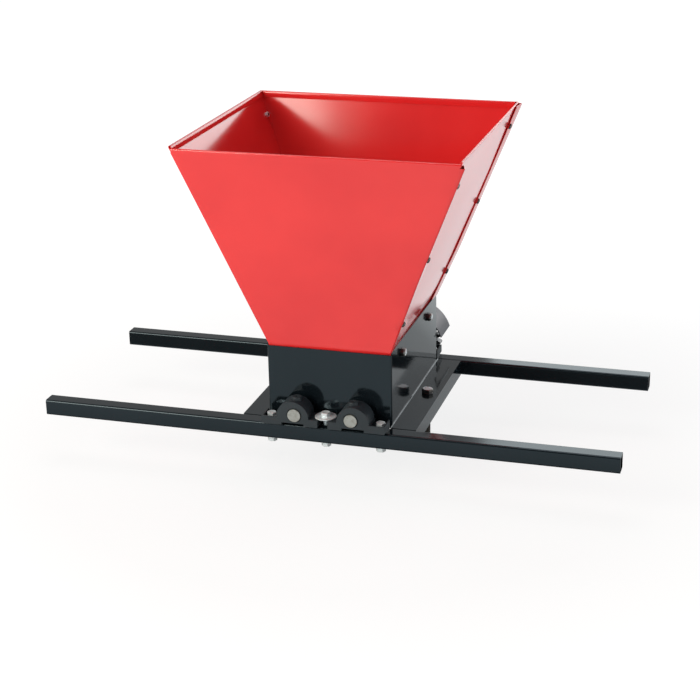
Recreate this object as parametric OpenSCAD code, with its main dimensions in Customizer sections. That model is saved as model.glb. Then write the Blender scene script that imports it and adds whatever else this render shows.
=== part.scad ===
// Hand-cranked grape crusher. A red sheet-metal hopper stands on a black box
// that holds two fluted rollers. The box hangs between two square bars, which
// lie across the rim of a tub. All sizes are in millimetres.
// +X runs to the right along the bars, +Y to the back, +Z up. The origin is
// midway between the bars and between the rollers, level with the bars' underside.

/* [Bars] */
// Side of the square tube
tube = 25; // [22:0.5:32]
// Wall of the square tube
tube_wall = 2; // [1:0.1:3]
// Outer corner radius of the square tube
tube_corner = 3; // [1.5:0.1:5]
// Length of each bar
bar_len = 900; // [600:1:1200]
// How far both bars sit to the left of the middle
bar_shift = 7; // [0:1:60]
// Clear space between the two bars
bar_gap = 300; // [240:1:380]

/* [Box] */
// Space between the box and each bar
box_clear = 9; // [6:0.5:14]
// Height of the box above the bars
box_h = 113; // [105:1:160]
// Thickness of the box's sheet metal
sheet = 1.5; // [1:0.1:2.5]
// Width of the flange on each side of the box
flange_w = 39; // [30:1:60]
// Space between a flange's ends and the bars
flange_gap = 3.5; // [2:0.5:6]
// Width of the weld tabs inside the box's corners
weld_tab = 9; // [6:1:10]
// Play round each shaft where it passes a wall
wall_clear = 2; // [1:0.5:3]

/* [Hopper] */
// Width of the rim, left to right
rim_w = 432; // [360:1:520]
// Depth of the rim, front to back
rim_d = 400; // [340:1:480]
// Height of the hopper's sloping panels
hopper_h = 309; // [240:1:400]
// How far the upright skirt stands out of the box below the slope
fold_rise = 3; // [1:0.5:8]
// Thickness of the hopper's sheet metal
hopper_sheet = 1.2; // [0.8:0.1:2]
// Width of the lap that the front and back panels fold round each corner
lap_w = 20; // [16:1:30]
// How far each lap stops below the rim
lap_drop = 6; // [3:0.5:12]
// Width of the hem folded inwards along the rim
hem_w = 11; // [6:0.5:15]
// Depth of the hopper's skirt inside the box
skirt = 26; // [24:1:28]
// Heights of the corner screws, as shares of the hopper's height
low_screw_share = 0.15; // [0.1:0.01:0.25]
mid_screw_share = 0.5; // [0.4:0.01:0.6]
high_screw_share = 0.88; // [0.75:0.01:0.92]

/* [Rollers] */
// Distance between the two shafts
roller_pitch = 88; // [80:1:100]
// Gap between the two rollers
nip = 6; // [4:0.5:12]
// Space between each roller and the box's side wall
side_room = 10.5; // [10:0.5:20]
// Space between the rollers' ends and the box's end walls
roller_end_gap = 3; // [2.5:0.5:6]
// Number of flutes on a roller
flutes = 12; // [8:1:16]
// Radius of each flute
flute_r = 6; // [3:0.5:7]
// Number of cored holes along a roller
cores = 6; // [4:2:6]
// Radius of each cored hole
core_r = 6.5; // [3:0.5:7]
// Radius of the shafts
shaft_r = 10; // [8:0.5:11]
// How far the shafts stand out of the front bearings
shaft_out = 1.5; // [1:0.5:10]
// Radius of the pins that lock rollers, gears and crank to the shafts
pin_r = 2.5; // [1.5:0.1:3]
// Distance of each roller's pins from its ends
pin_inset = 12; // [8:1:30]

/* [Bearings] */
// Play of a shaft in its bearing
running_gap = 0.06; // [0.02:0.01:0.1]
// Metal over the bore at the crown of the arch
arch_wall = 11; // [8:0.5:12]
// Half the width of the arch
arch_half = 25; // [23:0.5:26]
// How far the arch's flanks spread at the foot
arch_spread = 1.5; // [0.5:0.5:3]
// How far the middle of the arch and the slot lies outside the shaft
arch_shift = 3; // [0:0.5:4]
// How far the blocks stand out over the bars
block_over = 6; // [1:0.5:8]
// Chamfer at the mouth of the bore
bore_chamfer = 1.5; // [0.5:0.5:2]
// Metal between the bore and the slot under the arch
bore_floor = 3; // [2:0.5:6]
// Width of the slot under the arch
slot_w = 35; // [20:1:36]
// Height of the slot under the arch
slot_h = 4; // [2:0.5:6]
// Reach of the outer foot from the shaft
outer_reach = 52; // [50:0.5:60]
// Height of the feet
foot_h = 12; // [10:0.5:14]
// Thickness of the outer foot under its bolt
foot_floor = 5; // [4:0.5:8]
// Thickness of the raised edge round the outer foot
foot_edge = 2; // [1:0.5:4]
// Space between the foot bolt's washer and the raised edge
foot_room = 1; // [0.6:0.1:4]
// Gap between the two blocks on a bar
mid_gap = 16; // [10:0.5:20]
// Radius of the oil boss
boss_r = 6; // [4:0.5:8]
// Height of the oil boss above the arch
boss_h = 4; // [2:0.5:6]
// Radius of the oil hole
oil_r = 1.5; // [1:0.1:3]

/* [Gears] */
// Teeth on each gear
teeth = 22; // [18:1:28]
// Pressure angle of the teeth
pressure = 20; // [18:1:25]
// Backlash at the pitch circle
backlash = 0.4; // [0.2:0.05:0.8]
// Width of the toothed face
gear_w = 14; // [10:1:30]
// Metal round the shaft in a gear's hub
hub_wall = 8; // [5:0.5:12]
// Length of a gear's hub
hub_len = 8; // [8:0.5:16]
// Space between a gear's hub and the bearing
hub_gap = 1; // [0.5:0.1:3]
// How far the driven shaft passes its gear
shaft_tail = 3; // [1:0.5:5]

/* [Guard] */
// Space between the gear teeth and the guard
guard_clear = 14; // [8:0.5:20]
// Thickness of the guard's sheet metal
guard_sheet = 1.5; // [1:0.1:2.5]
// How far the guard reaches past the gears
guard_past = 6; // [4:0.5:12]
// Height of the guard's lower edges above the shafts
guard_low = 19; // [10:1:30]
// Width of each screw tab under the guard's top
guard_tab_w = 24; // [18:1:30]
// Depth of each screw tab
guard_tab_h = 18; // [16:1:22]
// Distance of each guard screw from the middle
guard_screw_x = 28; // [20:1:30]

/* [Crank] */
// Distance from the shaft to the grip
crank_len = 200; // [150:1:260]
// Width of the crank's arm
arm_w = 25; // [20:1:32]
// Thickness of the crank's arm
arm_t = 6; // [4:0.5:8]
// Metal round the shaft in the crank's hub
crank_wall = 7; // [5:0.5:12]
// Length of the crank's hub
crank_hub = 22; // [18:0.5:30]
// Space between the crank and the gear guard
crank_gap = 4; // [2:0.5:12]
// Radius of the spindle in the grip
spindle_r = 5; // [4:0.5:6]
// Radius of the spindle's collar
collar_r = 8; // [7:0.5:10]
// Thickness of the spindle's collar
collar_t = 2; // [1:0.5:4]
// Length of the grip
grip_len = 105; // [80:1:130]
// Radius of the grip at its middle
grip_r = 15; // [13:0.5:20]
// Radius of the grip at its ends
grip_end_r = 11; // [10:0.5:13]
// Free space at each end of the grip
grip_play = 0.5; // [0.2:0.1:0.8]
// Height of the button on the spindle's end
button_h = 4; // [3:0.5:6]

/* [Fasteners] */
// Radius of the large bolts
bolt_r = 4; // [3:0.5:5]
// Width across the flats of their heads and nuts
bolt_af = 13; // [12:0.5:14]
// Height of their heads
bolt_head = 5.3; // [4:0.1:6.5]
// Height of their nuts
bolt_nut = 6.5; // [5:0.1:8]
// Height of the lock nuts on the box's side walls
lock_nut = 8; // [6:0.1:10]
// Radius of the bearing and bar washers
washer_r = 7.5; // [7:0.5:9]
// Thickness of those washers
washer_t = 1.6; // [1:0.1:2.5]
// Radius of the wide washer that clamps both blocks
clamp_r = 16.5; // [13:0.5:17]
// Thickness of the wide washer
clamp_t = 2.5; // [1.5:0.1:4]
// Distance of the hopper bolts below the box's top
wall_bolt_drop = 16; // [14:0.5:17]
// Distance between the two hopper bolts on one side
wall_bolt_gap = 164; // [100:1:180]
// Radius of the pegs under the flanges
peg_r = 5; // [4:0.5:6]
// Width across the flats of the pegs' heads and nuts
peg_af = 16; // [14.5:0.5:18]
// Height of the pegs' heads
peg_head = 8; // [5:0.1:10]
// Height of the pegs' nuts
peg_nut = 8; // [6:0.1:10]
// Radius of the pegs' washers
peg_washer_r = 9; // [9:0.5:12]
// How far the pegs hang below the bars
peg_drop = 78; // [30:1:120]
// How much thinner the pegs are below their nuts
peg_relief = 0.2; // [0.1:0.05:0.5]
// Radius of the small screws
screw_r = 2.5; // [1.5:0.1:3]
// Radius of the small screws' round heads
screw_head_r = 4.6; // [4:0.1:6]
// Height of the small screws' heads
screw_head = 2.8; // [2:0.1:4]
// Width across the flats of the small nuts
small_af = 8; // [7.5:0.1:9]
// Height of the small nuts
small_nut = 4; // [3:0.1:5]
// Thread that shows past a nut
thread_end = 1; // [1:0.5:5]
// Radial play of a bolt in its hole
bolt_play = 0.25; // [0.1:0.05:0.5]
// Radial play of a fastener in its nut, and of a pressed piece on its shaft
press_gap = 0.03; // [0.01:0.01:0.05]

/* [Hidden] */
$fn = 64;
far = 1000;
cut = 1;

// Heights
block_z = tube + sheet;
axis_h = slot_h + bore_floor + running_gap + shaft_r;
axis_z = block_z + axis_h;
box_top = tube + box_h;
fold_z = box_top + fold_rise;
rim_z = fold_z + hopper_h;

// Plan of the rollers and the box
shaft_x = roller_pitch / 2;
roller_r = (roller_pitch - nip) / 2;
root_r = roller_r - flute_r;
hop_x = shaft_x + roller_r + side_room;
box_x = hop_x + sheet;
bar_y = bar_gap / 2;
bar_out = bar_y + tube;
box_y = bar_y - box_clear;
hop_y = box_y - sheet;
roller_y = hop_y - roller_end_gap;
bolt_line = bar_y + tube / 2;
side_tilt = atan((rim_w / 2 - hop_x) / hopper_h);
end_tilt = atan((rim_d / 2 - hop_y) / hopper_h);

// Bearing blocks
arch_r = shaft_r + arch_wall;
arch_foot = arch_shift + arch_half + arch_spread;
block_d = tube + block_over;
bore_r = shaft_r + running_gap;
inner_reach = shaft_x - mid_gap / 2;
foot_bolt = outer_reach - foot_edge - foot_room - washer_r;
foot_x = shaft_x + foot_bolt;
bar_bolts = [-foot_x, 0, foot_x];

// Gears, guard and crank along the shafts
gear_mod = roller_pitch / teeth;
base_r = shaft_x * cos(pressure);
tip_r = shaft_x + gear_mod;
gullet_r = shaft_x - 1.25 * gear_mod;
hub_r = shaft_r + hub_wall;
hub_y = bar_out + block_over + hub_gap;
gear_y = hub_y + hub_len;
gear_end = gear_y + gear_w;
guard_r = tip_r + guard_clear;
guard_end = gear_end + guard_past;
guard_screw_z = axis_z + guard_r - guard_sheet - guard_tab_h / 2 - cut;
crank_y = guard_end + crank_gap;
crank_r = shaft_r + crank_wall;
collar_y = crank_y + arm_t;
grip_y = collar_y + collar_t + grip_play;
grip_z = axis_z + crank_len;

// Flange pegs and hopper bolts
peg_x = box_x + flange_w / 2;
wall_bolt_z = box_top - wall_bolt_drop;

black = [0.05, 0.05, 0.055];
red = [0.78, 0.05, 0.06];
zinc = [0.75, 0.76, 0.78];
dark_steel = [0.16, 0.16, 0.17];
bright_steel = [0.66, 0.64, 0.6];
cast_alloy = [0.7, 0.71, 0.72];

// Shared shapes

// A cylinder along +Y from y0 to y1 at a place in plan and height
module along_y(x, z, y0, y1, r) {
    translate([x, y0, z])
        rotate([-90, 0, 0])
            cylinder(r = r, h = y1 - y0);
}

module hex(af, h) {
    cylinder(r = af / 2 / cos(30), h = h, $fn = 6);
}

// A bolt with its head above z = 0 and its shank below
module hex_bolt(r, af, head, length) {
    hex(af, head);
    translate([0, 0, -length])
        cylinder(r = r, h = length);
}

module round_screw(r, head_r, head, length) {
    cylinder(r = head_r, h = head);
    translate([0, 0, -length])
        cylinder(r = r, h = length);
}

// A nut that stands on z = 0
module nut(r, af, h) {
    difference() {
        hex(af, h);
        translate([0, 0, -cut])
            cylinder(r = r + press_gap, h = h + 2 * cut);
    }
}

module washer(r, outer, t) {
    difference() {
        cylinder(r = outer, h = t);
        translate([0, 0, -cut])
            cylinder(r = r + bolt_play, h = t + 2 * cut);
    }
}

module both_sides() {
    children();
    mirror([1, 0, 0])
        children();
}

module both_ends() {
    children();
    mirror([0, 1, 0])
        children();
}

module rounded_square(side, corner) {
    flat = side - 2 * corner;
    square([flat, side], center = true);
    square([side, flat], center = true);
    for (x = [-1, 1], y = [-1, 1])
        translate([x * flat / 2, y * flat / 2])
            circle(r = corner);
}

// Bars

module bar() {
    inner = tube - 2 * tube_wall;
    inner_corner = max(tube_corner - tube_wall, 0.4);
    difference() {
        translate([-bar_shift - bar_len / 2, bolt_line, tube / 2])
            rotate([90, 0, 90])
                linear_extrude(bar_len)
                    difference() {
                        rounded_square(tube, tube_corner);
                        rounded_square(inner, inner_corner);
                    }
        for (x = bar_bolts)
            translate([x, bolt_line, -cut])
                cylinder(r = bolt_r + bolt_play, h = tube + 2 * cut);
    }
}

module front_bar() {
    color(black)
        mirror([0, 1, 0])
            bar();
}

module rear_bar() {
    color(black)
        bar();
}

// Box: end walls with feet under the bearings, side walls with flange and lip

module end_wall() {
    foot_half = shaft_x + outer_reach;
    difference() {
        union() {
            translate([-box_x, hop_y, tube])
                cube([2 * box_x, sheet, box_h]);
            translate([-foot_half, hop_y, tube])
                cube([2 * foot_half, bar_out - hop_y, sheet]);
        }
        for (x = bar_bolts)
            translate([x, bolt_line, tube - cut])
                cylinder(r = bolt_r + bolt_play, h = sheet + 2 * cut);
        for (x = [-shaft_x, shaft_x])
            along_y(x, axis_z, hop_y - cut, box_y + cut, shaft_r + wall_clear);
    }
}

module front_wall() {
    color(black)
        mirror([0, 1, 0])
            end_wall();
}

module rear_wall() {
    color(black)
        difference() {
            end_wall();
            for (x = [-guard_screw_x, guard_screw_x])
                along_y(x, guard_screw_z, hop_y - cut, box_y + cut, screw_r + bolt_play);
        }
}

module side_wall() {
    flange_y = bar_y - flange_gap;
    lip_x = box_x + flange_w;
    tab_low = tube + sheet;
    tab_high = box_top - skirt;
    difference() {
        union() {
            translate([hop_x, -hop_y, tube - sheet])
                cube([sheet, 2 * hop_y, box_h + sheet]);
            translate([box_x - sheet / 2, -flange_y, tube - sheet])
                cube([flange_w + sheet / 2, 2 * flange_y, sheet]);
            translate([lip_x - sheet, -flange_y, 0])
                cube([sheet, 2 * flange_y, tube]);
            both_ends()
                translate([hop_x - weld_tab, hop_y - sheet, tab_low])
                    cube([weld_tab + sheet / 2, sheet, tab_high - tab_low - cut]);
        }
        translate([peg_x, 0, tube - sheet - cut])
            cylinder(r = peg_r + bolt_play, h = sheet + 2 * cut);
        hopper_bolt_holes();
    }
}

module hopper_bolt_holes() {
    for (y = [-1, 1])
        translate([hop_x - 2 * hopper_sheet, y * wall_bolt_gap / 2, wall_bolt_z])
            rotate([0, 90, 0])
                cylinder(r = bolt_r + bolt_play, h = sheet + 4 * hopper_sheet);
}

module right_wall() {
    color(black)
        side_wall();
}

module left_wall() {
    color(black)
        mirror([1, 0, 0])
            side_wall();
}

// Hopper: four flat panels. The front and back panels fold round the corners and
// lap the outside of the side panels.

// The space between two offsets, a and b, from the right panel's outer face
module side_slab(a, b) {
    translate([hop_x, 0, fold_z])
        rotate([0, side_tilt, 0])
            translate([a, -far, -far])
                cube([b - a, 2 * far, 2 * far]);
}

// The same for the back panel's outer face
module end_slab(a, b) {
    translate([0, hop_y, fold_z])
        rotate([-end_tilt, 0, 0])
            translate([-far, a, -far])
                cube([2 * far, b - a, 2 * far]);
}

module height_band(low, high) {
    translate([-far, -far, low])
        cube([2 * far, 2 * far, high - low]);
}

module within_ends(d) {
    intersection() {
        end_slab(-far, d);
        mirror([0, 1, 0])
            end_slab(-far, d);
    }
}

module within_sides(d) {
    intersection() {
        side_slab(-far, d);
        mirror([1, 0, 0])
            side_slab(-far, d);
    }
}

// Places children at the screws of the right rear corner, z along the panel's outward normal
module at_corner_screws() {
    for (share = [low_screw_share, mid_screw_share, high_screw_share]) {
        rise = share * hopper_h;
        x = hop_x + rise * tan(side_tilt);
        y = hop_y + rise * tan(end_tilt) - lap_w / 2 / cos(end_tilt);
        translate([x, y, fold_z + rise])
            rotate([0, 90 + side_tilt, 0])
                children();
    }
}

module corner_screw_holes() {
    at_corner_screws()
        translate([0, 0, -3 * hopper_sheet])
            cylinder(r = screw_r + bolt_play, h = 6 * hopper_sheet);
}

module side_panel() {
    t = hopper_sheet;
    skirt_y = hop_y - t;
    difference() {
        union() {
            intersection() {
                side_slab(-t, 0);
                within_ends(-t);
                height_band(fold_z, rim_z);
            }
            intersection() {
                side_slab(-2 * t, -t / 2);
                within_ends(-2 * t);
                height_band(rim_z - hem_w, rim_z);
            }
            translate([hop_x - t, -skirt_y, box_top - skirt])
                cube([t, 2 * skirt_y, skirt + fold_rise]);
            translate([hop_x - t, lap_w - hop_y, fold_z - t])
                cube([t, 2 * (hop_y - lap_w), 3 * t / 2]);
        }
        both_ends()
            corner_screw_holes();
        hopper_bolt_holes();
    }
}

module end_panel() {
    t = hopper_sheet;
    hem_gap = t;
    difference() {
        union() {
            intersection() {
                end_slab(-t, 0);
                within_sides(t);
                height_band(fold_z, rim_z);
            }
            both_sides()
                intersection() {
                    side_slab(0, t);
                    end_slab(-lap_w, 0);
                    height_band(fold_z, rim_z - lap_drop);
                }
            intersection() {
                end_slab(-2 * t, -t / 2);
                within_sides(-2 * t - hem_gap);
                height_band(rim_z - hem_w, rim_z);
            }
            translate([-hop_x, hop_y - t, box_top - skirt])
                cube([2 * hop_x, t, skirt + fold_rise]);
            translate([lap_w - hop_x, hop_y - t, fold_z - t])
                cube([2 * (hop_x - lap_w), t, 3 * t / 2]);
        }
        both_sides()
            corner_screw_holes();
    }
}

module hopper_right_panel() {
    color(red)
        side_panel();
}

module hopper_left_panel() {
    color(red)
        mirror([1, 0, 0])
            side_panel();
}

module hopper_back_panel() {
    color(red)
        end_panel();
}

module hopper_front_panel() {
    color(red)
        mirror([0, 1, 0])
            end_panel();
}

module hopper_corner_screws() {
    length = 2 * hopper_sheet + small_nut + thread_end / 2;
    color(dark_steel)
        both_sides()
            both_ends()
                at_corner_screws()
                    translate([0, 0, hopper_sheet])
                        round_screw(screw_r, screw_head_r, screw_head, length);
}

module hopper_corner_nuts() {
    color(zinc)
        both_sides()
            both_ends()
                at_corner_screws()
                    translate([0, 0, -hopper_sheet - small_nut])
                        nut(screw_r, small_af, small_nut);
}

// Bolts through the box's side walls and the hopper's skirt
module at_hopper_bolts() {
    for (y = [-1, 1])
        translate([0, y * wall_bolt_gap / 2, wall_bolt_z])
            rotate([0, 90, 0])
                children();
}

module hopper_bolts() {
    length = hopper_sheet + sheet + lock_nut + thread_end;
    color(zinc)
        both_sides()
            at_hopper_bolts()
                translate([0, 0, hop_x - hopper_sheet])
                    rotate([180, 0, 0])
                        hex_bolt(bolt_r, bolt_af, bolt_head, length);
}

module hopper_bolt_nuts() {
    color(zinc)
        both_sides()
            at_hopper_bolts()
                translate([0, 0, box_x])
                    nut(bolt_r, bolt_af, lock_nut);
}

// Bearings: a cast block with an arch over the shaft, an oil boss and two feet

module arch_outline() {
    spring = axis_h + arch_r - arch_half;
    rise = arch_half / 4;
    inside = sqrt(pow(arch_half, 2) - pow(rise, 2)) - 0.3;
    flank = arch_half + arch_spread;
    intersection() {
        translate([0, spring])
            circle(r = arch_half);
        translate([-arch_half, 0])
            square([2 * arch_half, spring + 2 * arch_half]);
    }
    polygon([
        [-flank, 0],
        [flank, 0],
        [inside, spring + rise],
        [-inside, spring + rise]
    ]);
}

// The block of the right rear shaft. Its bore runs along Y.
module bearing_block() {
    translate([shaft_x, bar_out + block_over, block_z])
        difference() {
            union() {
                translate([-inner_reach, -block_d, 0])
                    cube([inner_reach + outer_reach, block_d, foot_h]);
                translate([arch_shift, 0, 0])
                    rotate([90, 0, 0])
                        linear_extrude(block_d)
                            arch_outline();
                translate([0, -block_d / 2, axis_h])
                    cylinder(r = boss_r, h = arch_r + boss_h);
            }
            along_y(0, axis_h, -block_d - cut, cut, bore_r);
            translate([0, cut, axis_h])
                rotate([90, 0, 0])
                    cylinder(r1 = bore_r + bore_chamfer + cut, r2 = bore_r - cut, h = bore_chamfer + 2 * cut);
            translate([0, -block_d / 2, axis_h])
                cylinder(r = oil_r, h = arch_r + boss_h + cut);
            translate([arch_shift - slot_w / 2, -block_d - cut, -cut])
                cube([slot_w, block_d + 2 * cut, slot_h + cut]);
            translate([arch_foot, -block_d - cut, foot_floor])
                cube([outer_reach - arch_foot - foot_edge, block_d + cut - foot_edge, foot_h]);
            translate([foot_bolt, -block_over - tube / 2, -cut])
                cylinder(r = bolt_r + bolt_play, h = foot_h + 2 * cut);
        }
}

module rear_right_bearing() {
    color(black)
        bearing_block();
}

module rear_left_bearing() {
    color(black)
        mirror([1, 0, 0])
            bearing_block();
}

module front_right_bearing() {
    color(black)
        mirror([0, 1, 0])
            bearing_block();
}

module front_left_bearing() {
    color(black)
        mirror([0, 1, 0])
            mirror([1, 0, 0])
                bearing_block();
}

// Places children on each outer foot's bolt line, at a height
module at_feet(z) {
    both_ends()
        for (x = [-foot_x, foot_x])
            translate([x, bolt_line, z])
                children();
}

module at_middles(z) {
    both_ends()
        translate([0, bolt_line, z])
            children();
}

under_bar = washer_t + bolt_nut + thread_end;
foot_seat = block_z + foot_floor + washer_t;
clamp_seat = block_z + foot_h + clamp_t;

module bearing_foot_bolts() {
    color(zinc)
        at_feet(foot_seat)
            hex_bolt(bolt_r, bolt_af, bolt_head, foot_seat + under_bar);
}

module bearing_foot_washers() {
    color(zinc)
        at_feet(foot_seat - washer_t)
            washer(bolt_r, washer_r, washer_t);
}

// Bolts midway between the blocks. Their wide washers hold both inner feet down.
module bearing_clamp_bolts() {
    color(zinc)
        at_middles(clamp_seat)
            hex_bolt(bolt_r, bolt_af, bolt_head, clamp_seat + under_bar);
}

module bearing_clamp_washers() {
    color(zinc)
        at_middles(clamp_seat - clamp_t)
            washer(bolt_r, clamp_r, clamp_t);
}

module bar_washers() {
    color(zinc) {
        at_feet(-washer_t)
            washer(bolt_r, washer_r, washer_t);
        at_middles(-washer_t)
            washer(bolt_r, washer_r, washer_t);
    }
}

module bar_nuts() {
    color(zinc) {
        at_feet(-washer_t - bolt_nut)
            nut(bolt_r, bolt_af, bolt_nut);
        at_middles(-washer_t - bolt_nut)
            nut(bolt_r, bolt_af, bolt_nut);
    }
}

// Pegs: long bolts that hang from the flanges and stop the crusher sliding off a tub

module at_pegs(z) {
    for (x = [-peg_x, peg_x])
        translate([x, 0, z])
            children();
}

module tub_pegs() {
    thread = washer_t + sheet + peg_nut + cut / 2;
    color(zinc)
        at_pegs(tube + washer_t) {
            hex_bolt(peg_r, peg_af, peg_head, thread);
            translate([0, 0, -tube - washer_t - peg_drop])
                cylinder(r = peg_r - peg_relief, h = tube + washer_t + peg_drop - thread / 2);
        }
}

module tub_peg_washers() {
    color(zinc)
        at_pegs(tube)
            washer(peg_r, peg_washer_r, washer_t);
}

module tub_peg_nuts() {
    color(zinc)
        at_pegs(tube - sheet - peg_nut)
            nut(peg_r, peg_af, peg_nut);
}

// Gear guard: a hood over both gears, screwed to the rear wall by two tabs

module hood_outline(r) {
    translate([-shaft_x, -r])
        square([2 * shaft_x, 2 * r]);
    for (x = [-shaft_x, shaft_x])
        translate([x, 0])
            circle(r = r);
}

module gear_guard() {
    span = 2 * (shaft_x + guard_r);
    tab_z = axis_z + guard_r - guard_sheet / 2 - guard_tab_h;
    color(black)
        difference() {
            union() {
                translate([0, guard_end, axis_z])
                    rotate([90, 0, 0])
                        linear_extrude(guard_end - bar_y)
                            difference() {
                                hood_outline(guard_r);
                                hood_outline(guard_r - guard_sheet);
                                translate([-span / 2, guard_low - span])
                                    square([span, span]);
                            }
                both_sides()
                    translate([guard_screw_x - guard_tab_w / 2, box_y, tab_z])
                        cube([guard_tab_w, guard_sheet, guard_tab_h]);
                both_sides()
                    translate([guard_screw_x - guard_tab_w / 2, box_y, axis_z + guard_r - guard_sheet])
                        cube([guard_tab_w, box_clear + 2 * guard_sheet, guard_sheet]);
            }
            for (x = [-guard_screw_x, guard_screw_x])
                along_y(x, guard_screw_z, box_y - cut, guard_end, screw_r + bolt_play);
        }
}

module guard_screws() {
    length = guard_sheet + sheet + small_nut + thread_end / 2;
    color(dark_steel)
        both_sides()
            translate([guard_screw_x, box_y + guard_sheet, guard_screw_z])
                rotate([-90, 0, 0])
                    round_screw(screw_r, screw_head_r, screw_head, length);
}

module guard_nuts() {
    color(zinc)
        both_sides()
            translate([guard_screw_x, hop_y, guard_screw_z])
                rotate([90, 0, 0])
                    nut(screw_r, small_af, small_nut);
}

// Shafts, rollers and gears

drive_end = crank_y + crank_hub + shaft_tail;
driven_end = gear_end + shaft_tail;
gear_pin_y = hub_y + hub_len / 2;
crank_pin_y = crank_y + (arm_t + crank_hub) / 2;

// A pin across a shaft, upright, at a place along it
module cross_pin(x, y, half, r) {
    translate([x, y, axis_z - half])
        cylinder(r = r, h = 2 * half);
}

module roller_pin_holes(x) {
    for (y = [-1, 1])
        cross_pin(x, y * (roller_y - pin_inset), far / 2, pin_r + press_gap);
}

module roller_outline() {
    difference() {
        circle(r = roller_r);
        circle(r = shaft_r + press_gap);
        for (i = [0 : flutes - 1])
            rotate(i * 360 / flutes)
                translate([roller_r, 0])
                    circle(r = flute_r);
        for (i = [0 : cores - 1])
            rotate(i * 360 / cores)
                translate([(shaft_r + root_r) / 2, 0])
                    circle(r = core_r);
    }
}

module roller(x) {
    color(cast_alloy)
        difference() {
            translate([x, roller_y, axis_z])
                rotate([90, 0, 0])
                    linear_extrude(2 * roller_y)
                        roller_outline();
            roller_pin_holes(x);
        }
}

module roller_pins(x) {
    color(dark_steel)
        for (y = [-1, 1])
            cross_pin(x, y * (roller_y - pin_inset), root_r - cut, pin_r);
}

function involute(angle) = tan(angle) * 180 / PI - angle;
function flank_angle(r) = involute(acos(base_r / max(r, base_r)));
function half_tooth(r) =
    90 / teeth - backlash / 2 / shaft_x * 90 / PI + involute(pressure) - flank_angle(r);
function polar(r, angle) = [r * cos(angle), r * sin(angle)];

flank_steps = 5;
flank_radii = [
    gullet_r,
    for (i = [0 : flank_steps]) max(base_r, gullet_r) + (tip_r - max(base_r, gullet_r)) * i / flank_steps
];
last_flank = len(flank_radii) - 1;

// Points round one gear, tooth by tooth, with tooth 0 on the +X side turned by an angle
function gear_points(turn) = [
    for (i = [0 : teeth - 1])
        let (middle = turn + i * 360 / teeth)
        each concat(
            [for (k = [0 : last_flank]) polar(flank_radii[k], middle - half_tooth(flank_radii[k]))],
            [for (k = [last_flank : -1 : 0]) polar(flank_radii[k], middle + half_tooth(flank_radii[k]))]
        )
];

module gear(x, turn) {
    color(dark_steel)
        difference() {
            union() {
                translate([x, gear_end, axis_z])
                    rotate([90, 0, 0])
                        linear_extrude(gear_w)
                            polygon(gear_points(turn));
                along_y(x, axis_z, hub_y, gear_y + cut, hub_r);
            }
            along_y(x, axis_z, hub_y - cut, gear_end + cut, shaft_r + press_gap);
            cross_pin(x, gear_pin_y, far / 2, pin_r + press_gap);
        }
}

module shaft(x, end_y) {
    color(bright_steel)
        difference() {
            along_y(x, axis_z, -bar_out - block_over - shaft_out, end_y, shaft_r);
            roller_pin_holes(x);
            cross_pin(x, gear_pin_y, far / 2, pin_r + press_gap);
            if (end_y > crank_pin_y)
                cross_pin(x, crank_pin_y, far / 2, pin_r + press_gap);
        }
}

module gear_pin(x) {
    color(dark_steel)
        cross_pin(x, gear_pin_y, hub_r, pin_r);
}

module drive_shaft() {
    shaft(-shaft_x, drive_end);
}

module drive_roller() {
    roller(-shaft_x);
}

module drive_roller_pins() {
    roller_pins(-shaft_x);
}

module drive_gear() {
    gear(-shaft_x, 0);
}

module drive_gear_pin() {
    gear_pin(-shaft_x);
}

module driven_shaft() {
    shaft(shaft_x, driven_end);
}

module driven_roller() {
    roller(shaft_x);
}

module driven_roller_pins() {
    roller_pins(shaft_x);
}

// Half a tooth of turn sets a gap of this gear against a tooth of the other
module driven_gear() {
    gear(shaft_x, 180 + 180 / teeth);
}

module driven_gear_pin() {
    gear_pin(shaft_x);
}

// Crank: hub, flat arm and a grip that turns on its spindle

module crank_arm() {
    color(black)
        difference() {
            union() {
                along_y(-shaft_x, axis_z, crank_y, crank_y + crank_hub, crank_r);
                translate([-shaft_x - arm_w / 2, crank_y, axis_z])
                    cube([arm_w, arm_t, crank_len]);
                along_y(-shaft_x, grip_z, crank_y, collar_y, arm_w / 2);
            }
            along_y(-shaft_x, axis_z, crank_y - cut, crank_y + crank_hub + cut, shaft_r + press_gap);
            along_y(-shaft_x, grip_z, crank_y - cut, collar_y + cut, spindle_r + press_gap);
            cross_pin(-shaft_x, crank_pin_y, crank_r + cut, pin_r + press_gap);
        }
}

module crank_pin() {
    color(dark_steel)
        cross_pin(-shaft_x, crank_pin_y, crank_r, pin_r);
}

module grip_spindle() {
    nut_end = crank_y - peg_nut - thread_end;
    button_y = grip_y + grip_len + grip_play;
    color(zinc) {
        along_y(-shaft_x, grip_z, nut_end, button_y + cut, spindle_r);
        along_y(-shaft_x, grip_z, collar_y, collar_y + collar_t, collar_r);
        along_y(-shaft_x, grip_z, button_y, button_y + button_h, collar_r);
    }
}

module spindle_nut() {
    color(zinc)
        translate([-shaft_x, crank_y, grip_z])
            rotate([90, 0, 0])
                nut(spindle_r, peg_af, peg_nut);
}

// Radius of the grip along its length: a long swell between two rounded ends
grip_steps = 16;
function grip_radius(s) = grip_end_r + (grip_r - grip_end_r) * sin(180 * s);

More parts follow.
